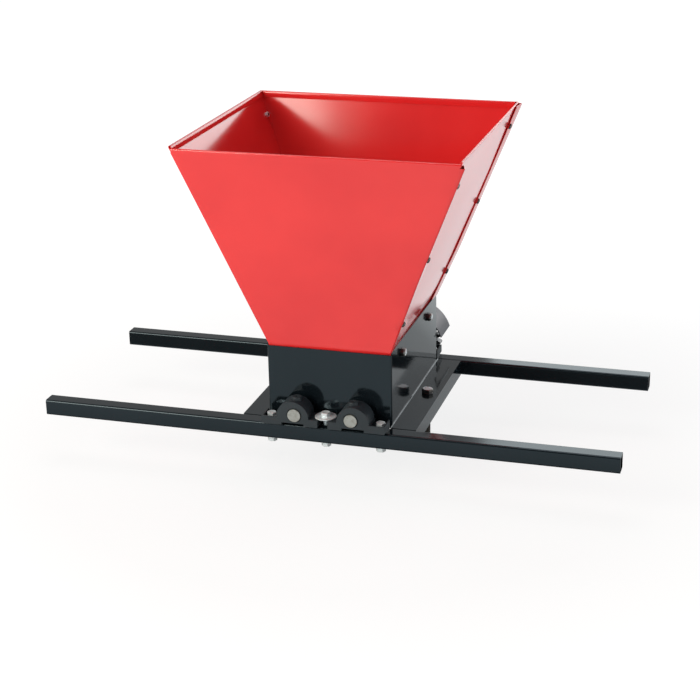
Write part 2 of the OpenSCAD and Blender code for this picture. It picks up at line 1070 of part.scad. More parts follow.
module crank_grip() {
    edge = 1.5;
    sides = [
        for (i = [0 : grip_steps])
            let (s = i / grip_steps)
            [grip_radius(s), edge + s * (grip_len - 2 * edge)]
    ];
    bore = spindle_r + running_gap;
    color(dark_steel)
        translate([-shaft_x, grip_y, grip_z])
            rotate([-90, 0, 0])
                rotate_extrude()
                    polygon(concat(
                        [[bore, 0], [grip_end_r - edge, 0]],
                        sides,
                        [[grip_end_r - edge, grip_len], [bore, grip_len]]
                    ));
}

front_bar();
rear_bar();
front_wall();
rear_wall();
left_wall();
right_wall();
hopper_front_panel();
hopper_back_panel();
hopper_left_panel();
hopper_right_panel();
hopper_corner_screws();
hopper_corner_nuts();
hopper_bolts();
hopper_bolt_nuts();
front_left_bearing();
front_right_bearing();
rear_left_bearing();
rear_right_bearing();
bearing_foot_bolts();
bearing_foot_washers();
bearing_clamp_bolts();
bearing_clamp_washers();
bar_washers();
bar_nuts();
tub_pegs();
tub_peg_washers();
tub_peg_nuts();
gear_guard();
guard_screws();
guard_nuts();
drive_shaft();
drive_roller();
drive_roller_pins();
drive_gear();
drive_gear_pin();
driven_shaft();
driven_roller();
driven_roller_pins();
driven_gear();
driven_gear_pin();
crank_arm();
crank_pin();
grip_spindle();
spindle_nut();
crank_grip();
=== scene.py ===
# %% [markdown]
# # A hand-cranked grape crusher
# A red sheet-metal hopper stands on a black box with two fluted rollers. The box hangs between two
# square bars that lie across a tub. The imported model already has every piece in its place, so this
# lesson gives the pieces their finishes, and rebuilds the ones that need finer shapes: folded sheets,
# bolts with threads, screws with a cross slot and the moulded grip. All lengths are in metres.

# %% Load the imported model
import math

import bmesh
import bpy
from mathutils import Matrix, Vector


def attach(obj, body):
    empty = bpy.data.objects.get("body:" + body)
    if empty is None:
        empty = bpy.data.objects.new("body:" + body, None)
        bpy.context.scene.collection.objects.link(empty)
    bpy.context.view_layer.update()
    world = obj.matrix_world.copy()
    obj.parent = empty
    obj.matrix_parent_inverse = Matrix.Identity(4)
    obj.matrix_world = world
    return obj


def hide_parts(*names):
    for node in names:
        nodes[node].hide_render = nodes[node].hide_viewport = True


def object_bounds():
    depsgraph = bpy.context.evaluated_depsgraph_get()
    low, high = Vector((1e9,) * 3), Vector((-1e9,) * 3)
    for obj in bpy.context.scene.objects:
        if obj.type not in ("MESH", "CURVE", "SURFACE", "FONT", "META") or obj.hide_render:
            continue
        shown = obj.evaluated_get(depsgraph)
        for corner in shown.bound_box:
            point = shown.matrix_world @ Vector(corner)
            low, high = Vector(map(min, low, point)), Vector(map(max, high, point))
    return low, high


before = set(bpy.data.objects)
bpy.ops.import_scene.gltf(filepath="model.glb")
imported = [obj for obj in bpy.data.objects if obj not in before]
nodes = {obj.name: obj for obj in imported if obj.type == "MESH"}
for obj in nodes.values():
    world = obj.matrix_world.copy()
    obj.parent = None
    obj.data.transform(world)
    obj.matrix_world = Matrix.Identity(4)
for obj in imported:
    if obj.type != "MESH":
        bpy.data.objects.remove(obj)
cad_low, cad_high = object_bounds()
print("nodes:", len(nodes), "box:", [round(v, 3) for v in (*cad_low, *cad_high)])

# %% [markdown]
# ## The camera
# The photograph was taken from the front, a little to the right and above. A camera could be turned by
# hand until the edges meet, but here its place and angles were worked out from the corners of the bars
# and of the hopper, so they are simply set. The small roll is the tilt of the picture itself.

# %% Camera
YAW, PITCH, ROLL = math.radians(16.816), math.radians(20.55), math.radians(-1.036)
EYE = (0.69893, -2.34331, 1.00301)
SENSOR_MM, LENS_MM, FARTHEST = 36, 85.18, 50
ahead = Vector((-math.sin(YAW) * math.cos(PITCH), math.cos(YAW) * math.cos(PITCH), -math.sin(PITCH)))
level = Vector((math.cos(YAW), math.sin(YAW), 0))
above = level.cross(ahead)
right = math.cos(ROLL) * level + math.sin(ROLL) * above
up = -math.sin(ROLL) * level + math.cos(ROLL) * above

camera_data = bpy.data.cameras.new("camera")
camera_data.sensor_width = SENSOR_MM
camera_data.lens = LENS_MM
camera_data.clip_end = FARTHEST
camera = bpy.data.objects.new("camera", camera_data)
turn = Matrix((right, up, -ahead)).transposed().to_4x4()
camera.matrix_world = Matrix.Translation(EYE) @ turn
bpy.context.scene.collection.objects.link(camera)
bpy.context.scene.camera = camera
bpy.context.scene.view_settings.view_transform = "Standard"
print("camera at", [round(v, 3) for v in camera.location], "lens", camera_data.lens)

# %% [markdown]
# ## Writing shaders as sums
# A material is a web of nodes. Wiring each one by hand hides the idea, so a small class wraps a socket
# and lets Python's own signs add the Math nodes: `1 - mask * 0.3` makes two. Every other node comes from
# one method, which takes the node's type, its settings and its inputs.

# %% Wires and finishes
class Wire:
    """The value of one socket. Maths on wires adds Math nodes."""

    def __init__(self, finish, socket):
        self.finish, self.socket = finish, socket

    def maths(self, operation, first, second):
        return self.finish.node("ShaderNodeMath", {"operation": operation}, {0: first, 1: second})

    def __add__(self, other):
        return self.maths("ADD", self, other)

    def __sub__(self, other):
        return self.maths("SUBTRACT", self, other)

    def __rsub__(self, other):
        return self.maths("SUBTRACT", other, self)

    def __mul__(self, other):
        return self.maths("MULTIPLY", self, other)

    def __pow__(self, other):
        return self.maths("POWER", self, other)

    __radd__, __rmul__ = __add__, __mul__


class Finish:
    """A node tree under construction: a material's or the world's."""

    def __init__(self, owner):
        owner.use_nodes = True
        self.owner, self.tree = owner, owner.node_tree
        self.tree.nodes.clear()

    def node(self, kind, settings=None, inputs=None, output=0):
        made = self.tree.nodes.new(kind)
        for key, value in (settings or {}).items():
            setattr(made, key, value)
        for key, value in (inputs or {}).items():
            if isinstance(value, Wire):
                self.tree.links.new(value.socket, made.inputs[key])
            else:
                made.inputs[key].default_value = value
        return Wire(self, made.outputs[output]) if len(made.outputs) else None

    def place(self):
        return self.node("ShaderNodeTexCoord", output="Object")

    def split(self, where):
        """The three numbers of a place or a direction."""
        parts = self.node("ShaderNodeSeparateXYZ", None, {0: where})
        return [Wire(self, socket) for socket in parts.socket.node.outputs]

    def ray(self, kind):
        """1 where the light path is of this kind, or else 0."""
        return self.node("ShaderNodeLightPath", output=f"Is {kind} Ray")

    def noise(self, scale, detail):
        inputs = {"Vector": self.place(), "Scale": scale, "Detail": detail}
        return self.node("ShaderNodeTexNoise", None, inputs)

    def span(self, value, low, high, to_low=0.0, to_high=1.0):
        return self.node("ShaderNodeMapRange", None, {0: value, 1: low, 2: high, 3: to_low, 4: to_high})

    def blend(self, share, first, second):
        mix = {"data_type": "RGBA", "blend_type": "MIX"}
        return self.node("ShaderNodeMix", mix, {0: share, 6: first, 7: second}, output=2)

    def bump(self, height, depth, strength, under=None):
        inputs = {"Height": height, "Distance": depth, "Strength": strength}
        if under:
            inputs["Normal"] = under
        return self.node("ShaderNodeBump", None, inputs)

    def surface(self, **inputs):
        named = {key.replace("_", " "): value for key, value in inputs.items()}
        shader = self.node("ShaderNodeBsdfPrincipled", None, named)
        self.node("ShaderNodeOutputMaterial", None, {"Surface": shader})
        return self.owner


def rgb(red, green, blue):
    return (red, green, blue, 1.0)


def new_finish(name):
    return Finish(bpy.data.materials.new(name))


print("shader tools ready")

# %% [markdown]
# ## The room
# The photograph has a plain white ground. White could be forced by strong lamps, but that would bleach
# the paint. So the room only looks white to the camera. In reflections it is pale low down behind the
# crusher and dim behind the camera, as a studio is, which keeps the black paint black.

# %% Room
AMBIENT, DIM = 0.17, 0.10
LOW_GLOW, HIGH_GLOW = 0.8, 0.40
room = Finish(bpy.data.worlds.new("room"))
bpy.context.scene.world = room.owner
seen = room.ray("Camera")
mirrored = room.ray("Glossy") + room.ray("Transmission")
_, backward, upward = room.split(room.node("ShaderNodeTexCoord", output="Generated"))
behind = room.span(backward, -0.35, 0.25)
wall_glow = room.span(upward, 0.10, 0.30, LOW_GLOW, HIGH_GLOW)
brightness = seen + mirrored * (DIM + behind * (wall_glow - DIM)) + (1 - seen - mirrored) * AMBIENT
sky = room.node("ShaderNodeBackground", None, {"Color": rgb(1, 1, 1), "Strength": brightness})
room.node("ShaderNodeOutputWorld", None, {"Surface": sky})
print("room: ambient", AMBIENT)

# %% [markdown]
# ## The floor
# The floor is chalk that also glows a little, so that it looks white and still takes a soft shadow. The
# black paint mirrors it, and the glow that reflections see depends on the place on the floor: it is pale
# in front of the crusher and behind it, and dark beneath. The dark beneath is a painted shadow of the
# crusher, put into the glow.

# %% Floor
FLOOR_Z = cad_low.z
FLOOR_HALF = 9
NEAR_WHITE, MIRROR_GLOW, FAR_GLOW = 0.82, 0.62, 0.10
BEHIND_GLOW, FAR_BEHIND_GLOW = 0.65, 0.70
floor_mesh = bpy.data.meshes.new("floor")
corners = [(x * FLOOR_HALF, y * FLOOR_HALF, FLOOR_Z) for x, y in ((-1, -1), (1, -1), (1, 1), (-1, 1))]
floor_mesh.from_pydata(corners, [], [(0, 1, 2, 3)])
floor = bpy.data.objects.new("floor", floor_mesh)
bpy.context.scene.collection.objects.link(floor)

ground = new_finish("floor")
seen, mirrored = ground.ray("Camera"), ground.ray("Glossy")
away = ground.node("ShaderNodeVectorMath", {"operation": "LENGTH"}, {0: ground.place()}, output="Value")
far_share = ground.span(away, 0.5, 1.4)
sideways, depth, _ = ground.split(ground.place())
# In reflections the floor glows only in front of the crusher and behind it. Beneath it the glow is left out,
# a painted shadow.
in_front = ground.span(depth, -0.20, -0.40)
far_back = ground.span(depth, 0.20, 0.40) * ground.span(depth - 1.5 * sideways, 0.20, 0.34)
at_back = BEHIND_GLOW * ground.span(depth, -0.04, 0.12) + FAR_BEHIND_GLOW * far_back
to_camera = NEAR_WHITE + (1 - NEAR_WHITE) * far_share
mirror_glow_with_painted_shadow = MIRROR_GLOW * (in_front + at_back) + FAR_GLOW * far_share
tone = ground.blend(mirrored, rgb(1, 1, 1), rgb(0.92, 0.98, 1.0))
glow = {"Color": tone, "Strength": seen * to_camera + mirrored * mirror_glow_with_painted_shadow}
shine = ground.node("ShaderNodeEmission", None, glow)
pale = ground.blend(seen + mirrored, rgb(0.80, 0.80, 0.80), rgb(0.20, 0.20, 0.20))
chalk = ground.node("ShaderNodeBsdfDiffuse", None, {"Color": pale})
lit = ground.node("ShaderNodeAddShader", None, {0: shine, 1: chalk})
ground.node("ShaderNodeOutputMaterial", None, {"Surface": lit})
floor_mesh.materials.append(ground.owner)
print("floor at", round(FLOOR_Z, 3))

# %% [markdown]
# ## The lamps
# Six soft boxes at a plain level light the crusher. The warm key stands at the front left, and its
# mirror image is the pale patch inside the hopper's back panel. The boxes behind show in the left panel's
# inside, and a low one at the side lights the right wall's fixings.

# %% Soft boxes
AIM = Vector((0, 0, 0.25))


def soft_box(name, place, width, height, radiance, colour=(1, 1, 1)):
    data = bpy.data.lights.new(name, "AREA")
    data.shape, data.size, data.size_y = "RECTANGLE", width, height
    data.energy = radiance * math.pi * width * height
    data.color = colour
    lamp = bpy.data.objects.new(name, data)
    lamp.location = place
    lamp.rotation_euler = (AIM - Vector(place)).to_track_quat("-Z", "Y").to_euler()
    lamp.visible_camera = False
    bpy.context.scene.collection.objects.link(lamp)
    print(name, "power", round(data.energy, 1))


soft_box("key_box", (-1.73, -2.26, 1.30), 1.73, 1.75, 8.0, colour=(1.0, 0.94, 0.84))
soft_box("top_box", (-0.2, 0.0, 2.6), 1.5, 1.5, 2.2)
soft_box("back_strip", (1.25, 2.40, 0.64), 1.80, 0.54, 2.8)
soft_box("back_left", (0.10, 2.75, 1.35), 0.95, 1.1, 1.8, colour=(0.90, 0.98, 1.0))
soft_box("back_right", (1.25, 2.60, 1.35), 1.30, 1.1, 1.05)
soft_box("side_fill", (2.2, -0.5, 0.30), 1.3, 0.7, 4.0)

# %% [markdown]
# ## Enamel
# The hopper is thin sheet, sprayed red and baked glossy. A single red would look like plastic, so the
# colour drifts a little over each panel, the gloss varies where the spray was thinner, and two bumps
# shape the light: a fine orange peel of a millimetre or two, and the slow wave of thin sheet metal. The
# box and the bars have the same enamel in black, and the gear hood a duller one.

# %% Enamels
def enamel(name, deep, fresh, gloss, shine, peel, wave, tint=(1, 1, 1)):
    paint = new_finish(name)
    drift = paint.noise(6.0, 3)
    speck = paint.noise(300.0, 2)
    colour = paint.blend(paint.span(drift, 0.35, 0.65), rgb(*deep), rgb(*fresh))
    dulled = gloss + 0.03 * paint.span(drift, 0.4, 0.7) + 0.02 * speck
    slow = paint.bump(paint.noise(9.0, 1), wave, 0.3)
    fine = paint.bump(paint.noise(500.0, 2), peel, 0.4, under=slow)
    return paint.surface(
        Base_Color=colour, Roughness=dulled, IOR=shine, Specular_Tint=rgb(*tint), Normal=fine)


red_enamel = enamel(
    "red_enamel", (0.79, 0.021, 0.023), (0.87, 0.030, 0.030), 0.10, 1.66, 0.000010, 0.0004)
# The blue tints on the black and hood enamels' reflections are painted: they stand in for cool light in the
# room.
black_enamel = enamel(
    "black_enamel", (0.0040, 0.0068, 0.0090), (0.0060, 0.0095, 0.0125), 0.085, 1.5, 0.000004, 0.00012,
    tint=(0.72, 0.90, 1.0))
hood_enamel = enamel(
    "hood_enamel", (0.030, 0.031, 0.038), (0.040, 0.041, 0.050), 0.34, 1.5, 0.000004, 0.0002,
    tint=(0.90, 0.92, 1.0))
print("enamels:", red_enamel.name, black_enamel.name, hood_enamel.name)

# %% [markdown]
# ## Cast and metal finishes
# The bearing blocks are castings under black paint, so their skin is pebbled. The fasteners are zinc
# plated: a bright metal with a faint blue and straw tint, or a dull grey one on the heavy bolts. On the
# pegs, the dull grey head and a pale copy of the zinc on its top are painted shade and a painted
# highlight of one metal. Shaft ends show the rings that the lathe left. The rollers are cast alloy, and
# the gears are dark iron with a film of oil.

# %% Metals
def painted_casting(name):
    skin = new_finish(name)
    pebble = skin.noise(420.0, 4)
    patch = skin.noise(35.0, 3)
    colour = skin.blend(patch, rgb(0.017, 0.025, 0.031), rgb(0.027, 0.037, 0.045))
    rough = 0.40 + 0.16 * patch
    pebbled = skin.bump(pebble, 0.0002, 0.4)
    return skin.surface(Base_Color=colour, Roughness=rough, IOR=1.45, Normal=pebbled)


def plated(name, plain, tint, rough, metal=1.0):
    coat = new_finish(name)
    cloud = coat.noise(90.0, 3)
    grain = coat.noise(900.0, 2)
    colour = coat.blend(coat.span(cloud, 0.35, 0.65), rgb(*plain), rgb(*tint))
    dull = rough + 0.14 * coat.span(cloud, 0.3, 0.7) + 0.05 * grain
    grainy = coat.bump(grain, 0.00004, 0.3)
    return coat.surface(Base_Color=colour, Metallic=metal, Roughness=dull, Normal=grainy)


def turned_steel(name, axis_x, axis_z):
    bar = new_finish(name)
    x, _, z = bar.split(bar.place())
    across, high = x - axis_x, z - axis_z
    out = (across * across + high * high) ** 0.5
    ring = bar.node("ShaderNodeMath", {"operation": "SINE"}, {0: out * 9000.0})
    rust = bar.noise(160.0, 4)
    colour = bar.blend(bar.span(rust, 0.45, 0.7), rgb(0.46, 0.47, 0.44), rgb(0.35, 0.34, 0.30))
    dull = 0.36 + 0.12 * rust
    ringed = bar.bump(ring, 0.00003, 0.4)
    return bar.surface(Base_Color=colour, Metallic=0.85, Roughness=dull, Normal=ringed)


def cast_metal(name, plain, dark, rough, metal, pebble=0.00025):
    cast = new_finish(name)
    skin = cast.noise(260.0, 5)
    patch = cast.noise(30.0, 3)
    colour = cast.blend(cast.span(patch * skin, 0.15, 0.4), rgb(*dark), rgb(*plain))
    dull = rough + 0.15 * cast.span(skin, 0.3, 0.7)
    pebbled = cast.bump(skin, pebble, 0.5)
    return cast.surface(Base_Color=colour, Metallic=metal, Roughness=dull, Normal=pebbled)


SHAFT_X, AXIS_Z = 0.044, 0.04356
bearing_black = painted_casting("bearing_black")
zinc_plate = plated("zinc_plate", (0.82, 0.91, 0.95), (0.76, 0.84, 0.87), 0.24, metal=0.40)
# A pale copy of the zinc: a painted highlight for the pegs' tops.
painted_highlight_zinc = plated("painted_highlight_zinc", (0.90, 0.95, 0.97), (0.84, 0.90, 0.92), 0.30, metal=0.15)
dull_zinc = plated("dull_zinc", (0.16, 0.16, 0.17), (0.24, 0.23, 0.21), 0.24)
dark_steel = plated("dark_steel", (0.10, 0.10, 0.105), (0.17, 0.16, 0.155), 0.26)
drive_steel = turned_steel("drive_shaft_steel", -SHAFT_X, AXIS_Z)
driven_steel = turned_steel("driven_shaft_steel", SHAFT_X, AXIS_Z)
roller_alloy = cast_metal("roller_alloy", (0.72, 0.73, 0.74), (0.50, 0.51, 0.52), 0.32, 1.0)
gear_iron = cast_metal("gear_iron", (0.20, 0.20, 0.21), (0.10, 0.10, 0.10), 0.30, 0.9, 0.0001)
print("metals ready")

# %% [markdown]
# ## Plastics
# Two pieces aren't metal. The grip is black plastic, smoother where hands have worn it. The lock nuts
# hold a ring of milky nylon that grips the thread.

# %% Plastics
def plastic(name, deep, pale, cloud, rough, shine, grain, depth):
    moulded = new_finish(name)
    clouded = moulded.noise(cloud, 3)
    grained = moulded.noise(grain, 3)
    colour = moulded.blend(clouded, rgb(*deep), rgb(*pale))
    skin = moulded.bump(grained, depth, 0.4)
    dull = rough[0] + rough[1] * clouded
    return moulded.surface(Base_Color=colour, Roughness=dull, IOR=shine, Normal=skin)


grip_plastic = plastic(
    "grip_plastic", (0.012, 0.012, 0.013), (0.028, 0.027, 0.026), 25.0, (0.48, -0.12), 1.46, 1500.0, 0.00008)
ring_nylon = plastic(
    "ring_nylon", (0.74, 0.75, 0.74), (0.86, 0.87, 0.86), 700.0, (0.38, 0.1), 1.53, 700.0, 0.00004)
print("plastics:", grip_plastic.name, ring_nylon.name)

# %% [markdown]
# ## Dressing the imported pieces
# Pieces whose shape is already right keep their mesh and get a finish. Real edges are never knife
# sharp, so a Bevel modifier rounds each one a little. It leaves the mesh itself alone.

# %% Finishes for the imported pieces
BEVEL_ANGLE = math.radians(35)


def dress(finish, edge, *names):
    for name in names:
        piece = nodes[name]
        piece.data.materials.clear()
        piece.data.materials.append(finish)
        bevel = piece.modifiers.new("soft_edges", "BEVEL")
        bevel.width, bevel.segments, bevel.limit_method = edge, 3, "ANGLE"
        bevel.angle_limit = BEVEL_ANGLE
        bevel.use_clamp_overlap = True
        bevel.harden_normals = True
    print(finish.name, "on", ", ".join(names))


dress(black_enamel, 0.00025, "front_bar", "rear_bar")
dress(bearing_black, 0.0014, "front_left_bearing", "front_right_bearing")
dress(bearing_black, 0.0014, "rear_left_bearing", "rear_right_bearing")
dress(hood_enamel, 0.0004, "gear_guard")
dress(black_enamel, 0.0008, "crank_arm")
dress(drive_steel, 0.0006, "drive_shaft")
dress(driven_steel, 0.0006, "driven_shaft")
dress(roller_alloy, 0.0008, "drive_roller", "driven_roller")
dress(gear_iron, 0.0003, "drive_gear", "driven_gear")
dress(dark_steel, 0.0003, "drive_roller_pins", "driven_roller_pins")
dress(dark_steel, 0.0003, "drive_gear_pin", "driven_gear_pin", "crank_pin")
dress(zinc_plate, 0.0004, "grip_spindle")

# %% [markdown]
# ## Bolts, nuts and washers
# A hexagon head is a six-sided bar cut by a cone, which leaves the curved corners that catch the light.
# A boolean could cut it, but it is easier to walk round the head and, at each angle, lower the edge as
# far as the cone would. The thread is one long spiral: rows of points that climb by one pitch a turn.

# %% Rings and threads
AROUND = 48
TURN = 2 * math.pi
HEX_FLAT, CONE = 0.475, 0.55
CHAMFER, WASHER_EDGE = 0.0005, 0.0003


def stack(rings, closed=False):
    """Skins a stack of rings. A ring gives, for each angle, a radius and a height."""
    points, faces = [], []
    for ring in rings:
        for i in range(AROUND):
            angle = TURN * i / AROUND
            radius, height = ring(angle) if callable(ring) else ring
            points.append(Vector((radius * math.cos(angle), radius * math.sin(angle), height)))
    count = len(rings)
    for k in range(count if closed else count - 1):
        low, high = k * AROUND, (k + 1) % count * AROUND
        for i in range(AROUND):
            j = (i + 1) % AROUND
            faces.append((low + i, low + j, high + j, high + i))
    if not closed:
        faces.append(tuple(reversed(range(AROUND))))
        faces.append(tuple(range((count - 1) * AROUND, count * AROUND)))
    return points, faces


def hexagon(across):
    """A hexagon's radius at an angle, its flat's radius, and how far a cone lowers it at an angle."""
    flat = across * HEX_FLAT

    def side(angle):
        return across / 2 / math.cos(angle % (TURN / 6) - TURN / 12)

    def drop(angle):
        return max(side(angle) - flat, 0) * CONE

    return side, flat, drop


def hex_head(across, height):
    side, flat, drop = hexagon(across)
    return stack([
        lambda a: (side(a), 0.0), lambda a: (side(a), height - drop(a)),
        (flat, height), (flat * 0.93, height - 0.00012)])


def hex_nut(across, height, bore):
    side, flat, drop = hexagon(across)
    mouth = bore + CHAMFER
    return stack([
        lambda a: (side(a), drop(a)), lambda a: (side(a), height - drop(a)), (flat, height),
        (mouth, height), (bore, height - CHAMFER), (bore, CHAMFER),
        (mouth, 0.0), (flat, 0.0)], closed=True)


def lock_nut(across, height, bore):
    """A nut whose top is drawn into a round collar over a soft ring."""
    side, flat, drop = hexagon(across)
    hex_top = height * 0.7
    return stack([
        lambda a: (side(a), drop(a)), lambda a: (side(a), hex_top - drop(a)), (flat, hex_top),
        (flat * 0.96, height * 0.9), (flat * 0.86, height), (bore + 0.0008, height),
        (bore, height - 0.0006), (bore, CHAMFER), (bore + CHAMFER, 0.0), (flat, 0.0)], closed=True)


def flat_washer(radius, bore, height):
    edge = WASHER_EDGE
    return stack([
        (radius - edge, 0.0), (radius, edge), (radius, height - edge), (radius - edge, height),
        (bore + edge, height), (bore, height - edge), (bore, edge), (bore + edge, 0.0)], closed=True)


def dished_washer(radius, bore, height):
    """A wide washer, drawn down a little towards its rim."""
    edge, rim = WASHER_EDGE, height * 0.62
    return stack([
        (radius - edge, 0.0), (radius, edge), (radius, rim - edge), (radius - edge, rim),
        (radius * 0.82, height * 0.86), (radius * 0.6, height), (bore + edge, height),
        (bore, height - edge), (bore, edge), (bore + edge, 0.0)], closed=True)


def threaded(radius, pitch, low, high, around=24):
    """A rod with a spiral thread, from one height to another."""
    depth = 0.6 * pitch
    shape = (0.0, 0.0, depth, depth)
    tip = 1.2 * depth
    rows = int((high - low) / pitch * 4) + 9
    points, faces = [], []
    for i in range(around):
        angle = TURN * i / around
        for k in range(rows):
            height = low + (k - 4) * pitch / 4 + pitch * i / around - pitch
            clipped = min(max(height, low), high)
            taper = max(tip - (clipped - low), 0) * 0.8
            cut = radius - max(shape[k % 4], taper)
            points.append(Vector((cut * math.cos(angle), cut * math.sin(angle), clipped)))
    for i in range(around):
        nxt, climb = ((i + 1) * rows, 0) if i + 1 < around else (0, 4)
        for k in range(rows - 1 - climb):
            faces.append((i * rows + k, nxt + k + climb, nxt + k + 1 + climb, i * rows + k + 1))
    faces.append(tuple(reversed([i * rows for i in range(around)])))
    faces.append(tuple(i * rows + rows - 1 for i in range(around)))
    return points, faces


def bolt(across, head, radius, pitch, length):
    rod = threaded(radius, pitch, -length, 0.0005)
    return [hex_head(across, head), rod]


def moved(part, matrix):
    points, faces = part
    return [matrix @ p for p in points], faces


def standing(place, out=(0, 0, 1)):
    """The frame of a fastener whose own +Z points out of the work at a place."""
    return Matrix.Translation(place) @ Vector(out).to_track_quat("Z", "Y").to_matrix().to_4x4()


print("head points:", len(hex_head(0.013, 0.005)[0]))

# %% [markdown]
# ## From points to a piece
# All the fasteners of one kind become one object. It is linked, given its finish, smoothed only across
# gentle angles so that crisp corners stay crisp, and told which body carries it.

# %% Making pieces
MERGE = 1e-7


def make(name, shapes, finish, body="frame", instead_of=(), smooth=32):
    points, faces = [], []
    for more_points, more_faces in shapes:
        start = len(points)
        points += more_points
        faces += [tuple(start + i for i in face) for face in more_faces]
    mesh = bpy.data.meshes.new(name)
    mesh.from_pydata(points, [], faces)
    shell = bmesh.new()
    shell.from_mesh(mesh)
    bmesh.ops.remove_doubles(shell, verts=shell.verts, dist=MERGE)
    bmesh.ops.dissolve_degenerate(shell, edges=shell.edges, dist=MERGE)
    bmesh.ops.recalc_face_normals(shell, faces=shell.faces)
    shell.to_mesh(mesh)
    shell.free()
    mesh.shade_smooth()
    mesh.set_sharp_from_angle(angle=math.radians(smooth))
    mesh.materials.append(finish)
    piece = bpy.data.objects.new(name, mesh)
    bpy.context.scene.collection.objects.link(piece)
    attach(piece, body)
    if instead_of:
        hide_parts(*instead_of)
    print(name, "faces:", len(mesh.polygons))
    return piece


print("ready to make pieces")

# %% [markdown]
# ## Bolts through the bars
# Each bearing block is bolted down at its outer foot. A third bolt midway clamps the inner feet of two
# blocks under one wide, dished washer. All the bolts go right through the bar to a washer and a nut.

# %% Bolts through the bars
BOLT_LINE, FOOT_X = 0.1625, 0.0855
FOOT_SEAT, CLAMP_SEAT, UNDER_BAR = 0.0331, 0.041, 0.0091
BOLT, BOLT_AF, BOLT_HEAD, BOLT_NUT = 0.004, 0.013, 0.0053, 0.0065
BOLT_PITCH, BOLT_HOLE, BOLT_BORE = 0.00125, 0.00425, BOLT - 0.0004
WASHER, WASHER_T = 0.0075, 0.0016
WIDE_WASHER, WIDE_T = 0.0165, 0.0025
feet = [(x, y) for x in (-FOOT_X, FOOT_X) for y in (-BOLT_LINE, BOLT_LINE)]
middles = [(0.0, -BOLT_LINE), (0.0, BOLT_LINE)]


def at_each(parts, places, height):
    """The same parts at several places of one height."""
    return [moved(part, standing((x, y, height))) for x, y in places for part in parts]


def through_bolt(seat):
    return bolt(BOLT_AF, BOLT_HEAD, BOLT, BOLT_PITCH, seat + UNDER_BAR)


washer = flat_washer(WASHER, BOLT_HOLE, WASHER_T)
wide_washer = dished_washer(WIDE_WASHER, BOLT_HOLE, WIDE_T)
under_nut = hex_nut(BOLT_AF, BOLT_NUT, BOLT_BORE)
for name, node, shapes in (
        ("foot_bolts", "bearing_foot_bolts", at_each(through_bolt(FOOT_SEAT), feet, FOOT_SEAT)),
        ("clamp_bolts", "bearing_clamp_bolts", at_each(through_bolt(CLAMP_SEAT), middles, CLAMP_SEAT)),
        ("foot_washers", "bearing_foot_washers", at_each([washer], feet, FOOT_SEAT - WASHER_T)),
        ("clamp_washers", "bearing_clamp_washers", at_each([wide_washer], middles, CLAMP_SEAT - WIDE_T)),
        ("under_washers", "bar_washers", at_each([washer], feet + middles, -WASHER_T)),
        ("under_nuts", "bar_nuts", at_each([under_nut], feet + middles, -WASHER_T - BOLT_NUT))):
    make(name, shapes, zinc_plate, instead_of=[node])

# %% [markdown]
# ## Collars round the oil holes
# Oil reaches each shaft through a hole in the block's crown, and the casting has a short collar round
# it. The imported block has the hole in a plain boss, so the collar is a small turned ring set over it.

# %% Collars round the oil holes
BLOCK_MID, CROWN = 0.1655, AXIS_Z + 0.0185
collar = stack([
    (0.0076, 0.0), (0.0074, 0.0060), (0.0068, 0.0068),
    (0.0030, 0.0068), (0.0024, 0.0062), (0.0022, 0.0)], closed=True)
crowns = [(x, y) for x in (-SHAFT_X, SHAFT_X) for y in (-BLOCK_MID, BLOCK_MID)]
make("oil_collars", at_each([collar], crowns, CROWN), bearing_black)

# %% [markdown]
# ## Pegs under the flanges
# A long bolt hangs from each side flange and stops the crusher sliding off the tub. Its head is dull
# zinc, and a thin pale disc with a turned-down edge lies on its top. The two are one metal in a shaded
# and a lit copy: painted shade on the head and a painted highlight on its top.

# %% Pegs under the flanges
PEG_X, PEG_SEAT, PEG_DROP, PEG_HEAD = 0.1165, 0.0266, 0.078, 0.0056
PEG, PEG_AF, PEG_PITCH = 0.0048, 0.016, 0.0015
PEG_WASHER, PEG_HOLE, FLANGE_TOP = 0.009, 0.00525, 0.025
PEG_NUT, PEG_BORE, PEG_NUT_LOW = 0.008, 0.0044, 0.0155
sides = [(-PEG_X, 0), (PEG_X, 0)]
peg = bolt(PEG_AF, PEG_HEAD, PEG, PEG_PITCH, PEG_SEAT + PEG_DROP)
peg_painted_highlight = stack([(0.0058, 0.0), (0.0071, 0.0001), (0.0068, 0.00045), (0.0040, 0.0006), (0.0010, 0.0006)])
peg_washer = flat_washer(PEG_WASHER, PEG_HOLE, WASHER_T)
peg_nut = hex_nut(PEG_AF, PEG_NUT, PEG_BORE)
# The dull head is painted shade, and the pale disc on it is a painted highlight.
make("peg_bolts", at_each(peg, sides, PEG_SEAT), dull_zinc, instead_of=["tub_pegs"])
make("peg_painted_highlights", at_each([peg_painted_highlight], sides, PEG_SEAT + PEG_HEAD), painted_highlight_zinc)
make("peg_washers", at_each([peg_washer], sides, FLANGE_TOP), dull_zinc,
     instead_of=["tub_peg_washers"])
make("peg_nuts", at_each([peg_nut], sides, PEG_NUT_LOW), zinc_plate, instead_of=["tub_peg_nuts"])

# %% [markdown]
# ## Bolts that hold the hopper
# The hopper's skirt hangs inside the box. Two bolts a side go through both sheets, with their heads inside
# and lock nuts outside. A lock nut shows a pale ring at its end, which is a piece of its own.

